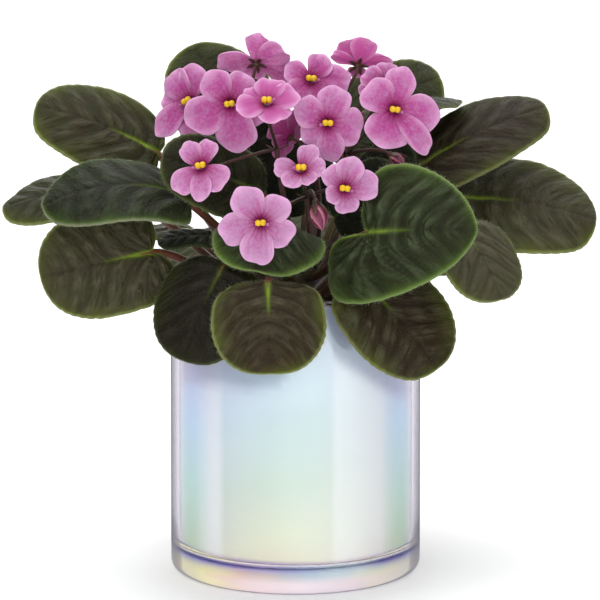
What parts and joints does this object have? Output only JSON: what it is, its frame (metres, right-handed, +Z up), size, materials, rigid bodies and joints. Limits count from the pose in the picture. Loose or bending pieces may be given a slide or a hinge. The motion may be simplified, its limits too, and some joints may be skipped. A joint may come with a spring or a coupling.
{
  "type": "potted african violet",
  "caption": "Low rosette of quilted, hairy leaves with pink flowers, growing in a straight-sided pearly glass pot.",
  "frame": {"origin": "centre of the glass pot's flat base", "axes": "+Z up along the pot's axis, +X to the right and +Y away as seen from the plant's front"},
  "size_m": [0.2614, 0.1947, 0.2413],
  "materials": {
    "pearl_glass": "clear blown glass with a thin pearly, iridescent coat that hides what stands in it",
    "grower_plastic": "thin moulded plastic",
    "potting_mix": "damp crumbly peat with perlite",
    "crown_stem": "rough green-brown stem, hairy young leaves",
    "dark_leaf": "quilted and velvety with fine pale hairs",
    "fresh_leaf": "quilted and velvety, greener, with fine pale hairs",
    "flower_stalk": "smooth reddish brown with fine hairs",
    "petal": "soft orchid pink with a fine sparkle, darker throat",
    "anther": "smooth waxy yellow",
    "bud": "tight folded petals, magenta"
  },
  "bodies": {
    "root": {"glass_pot": "pearl_glass", "grow_pot": "grower_plastic", "soil": "potting_mix", "crown": "crown_stem", "leaf_left_high": "dark_leaf", "leaf_left_far": "dark_leaf", "leaf_left_arched": "fresh_leaf", "leaf_left_low": "dark_leaf", "leaf_front_left": "dark_leaf", "leaf_front_middle": "dark_leaf", "leaf_front_top": "fresh_leaf", "leaf_right_front": "fresh_leaf", "leaf_right_low": "dark_leaf", "leaf_right": "dark_leaf", "leaf_right_high": "dark_leaf", "leaf_front_right": "dark_leaf", "leaf_back_left_high": "dark_leaf", "leaf_back_right_high": "dark_leaf", "leaf_right_edge": "dark_leaf", "leaf_inner_left": "dark_leaf", "leaf_back_left_low": "dark_leaf", "leaf_back_left": "dark_leaf", "leaf_back": "dark_leaf", "leaf_back_right": "dark_leaf", "leaf_right_back_low": "dark_leaf", "flower_stalk_1": "flower_stalk", "flower_stalk_2": "flower_stalk", "flower_stalk_3": "flower_stalk", "flower_stalk_4": "flower_stalk", "flower_stalk_5": "flower_stalk", "bloom_01_petals": "petal", "bloom_01_anthers": "anther", "bloom_02_petals": "petal", "bloom_02_anthers": "anther", "bloom_03_petals": "petal", "bloom_03_anthers": "anther", "bloom_04_petals": "petal", "bloom_04_anthers": "anther", "bloom_05_petals": "petal", "bloom_05_anthers": "anther", "bloom_06_petals": "petal", "bloom_06_anthers": "anther", "bloom_07_petals": "petal", "bloom_07_anthers": "anther", "bloom_08_petals": "petal", "bloom_08_anthers": "anther", "bloom_09_petals": "petal", "bloom_09_anthers": "anther", "bloom_10_petals": "petal", "bloom_10_anthers": "anther", "bloom_11_petals": "petal", "bloom_11_anthers": "anther", "bloom_12_petals": "petal", "bloom_12_anthers": "anther", "bloom_13_petals": "petal", "bloom_13_anthers": "anther", "bloom_14_petals": "petal", "bloom_14_anthers": "anther", "bud_1": "bud", "bud_2": "bud"}
  },
  "joints": []
}
